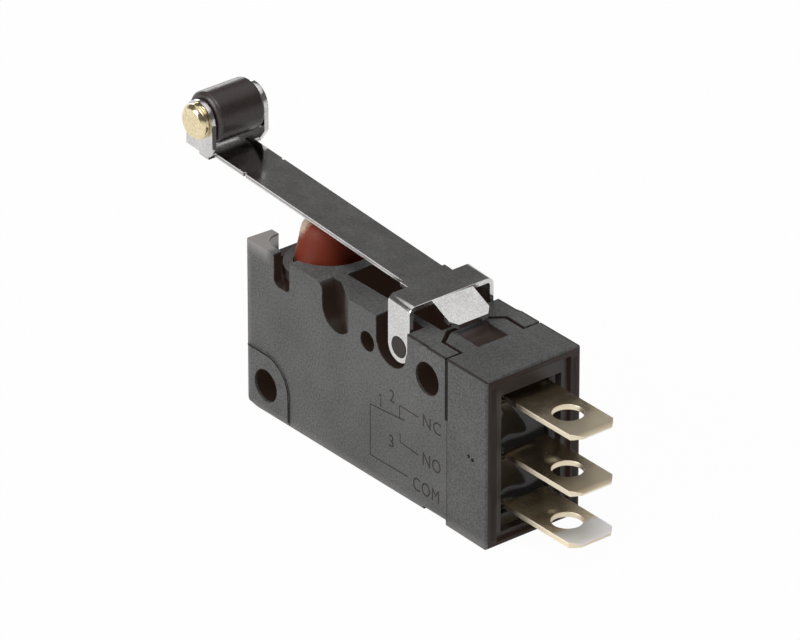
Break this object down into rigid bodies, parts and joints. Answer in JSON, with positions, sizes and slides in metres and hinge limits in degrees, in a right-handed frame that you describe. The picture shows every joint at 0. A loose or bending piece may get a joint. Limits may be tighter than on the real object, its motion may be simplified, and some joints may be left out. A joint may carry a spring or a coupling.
{
  "type": "snap action switch",
  "caption": "Sealed miniature snap action switch with a hinged roller lever, rubber plunger boot and flat tab terminals on a potted end block.",
  "frame": {"origin": "middle of the two mounting holes, at half the thickness of the switch", "axes": "+X towards the terminals, +Y from the front face to the back face, +Z from the case towards the lever"},
  "size_m": [0.0526, 0.0104, 0.0259],
  "materials": {
    "case_plastic": "fine moulded grain",
    "base_plastic": "satin moulded",
    "sealing_resin": "poured and glossy",
    "gasket_rubber": "matt",
    "terminal_metal": "stamped, slightly dulled",
    "contact_metal": "bright silver alloy",
    "guide_plastic": "smooth",
    "boot_rubber": "moulded with a soft sheen",
    "spring_metal": "rolled strip",
    "lever_steel": "rolled sheet",
    "pin_brass": "turned",
    "roller_plastic": "smooth moulded"
  },
  "bodies": {
    "housing": {"case": "case_plastic", "end_block": "case_plastic", "terminal_base": "base_plastic", "potting_seal": "sealing_resin", "case_gasket": "gasket_rubber", "terminal_nc": "terminal_metal", "terminal_no": "terminal_metal", "terminal_com": "terminal_metal", "contact_nc": "contact_metal", "contact_no": "contact_metal", "blade_anchor": "terminal_metal", "plunger_guide": "guide_plastic", "rubber_boot": "boot_rubber", "boot_retainer": "base_plastic", "snap_spring": "spring_metal"},
    "lever": {"lever": "lever_steel", "roller_pin": "pin_brass"},
    "roller": {"roller": "roller_plastic"},
    "plunger": {"plunger": "guide_plastic"},
    "blade": {"moving_blade": "spring_metal", "moving_contact": "contact_metal"}
  },
  "joints": [
    {"name": "lever_pivot", "type": "hinge", "parent": "housing", "child": "lever", "pos_m": [0.0066, 0, 0.00611], "axis": [0, -1, 0], "range_deg": [0, 6.5], "stiffness_Nm_per_rad": 0.12, "springref_deg": -5.73},
    {"name": "roller_spin", "type": "hinge", "parent": "lever", "child": "roller", "pos_m": [-0.02284, 0, 0.01538], "axis": [0, 1, 0], "continuous": true},
    {"name": "plunger_slide", "type": "slide", "parent": "housing", "child": "plunger", "axis": [0, 0, -1], "range_m": [0, 0.00175], "deforming": ["rubber_boot", "snap_spring"]},
    {"name": "blade_swing", "type": "hinge", "parent": "housing", "child": "blade", "pos_m": [-0.0122, 0, 0.00057], "axis": [0, 1, 0], "range_deg": [0, 1.36]}
  ],
  "couplings": [
    {"joint": "plunger_slide", "follows": "lever_pivot", "m_per_rad": 0.01525},
    {"joint": "blade_swing", "follows": "lever_pivot", "ratio": 0.2077}
  ]
}
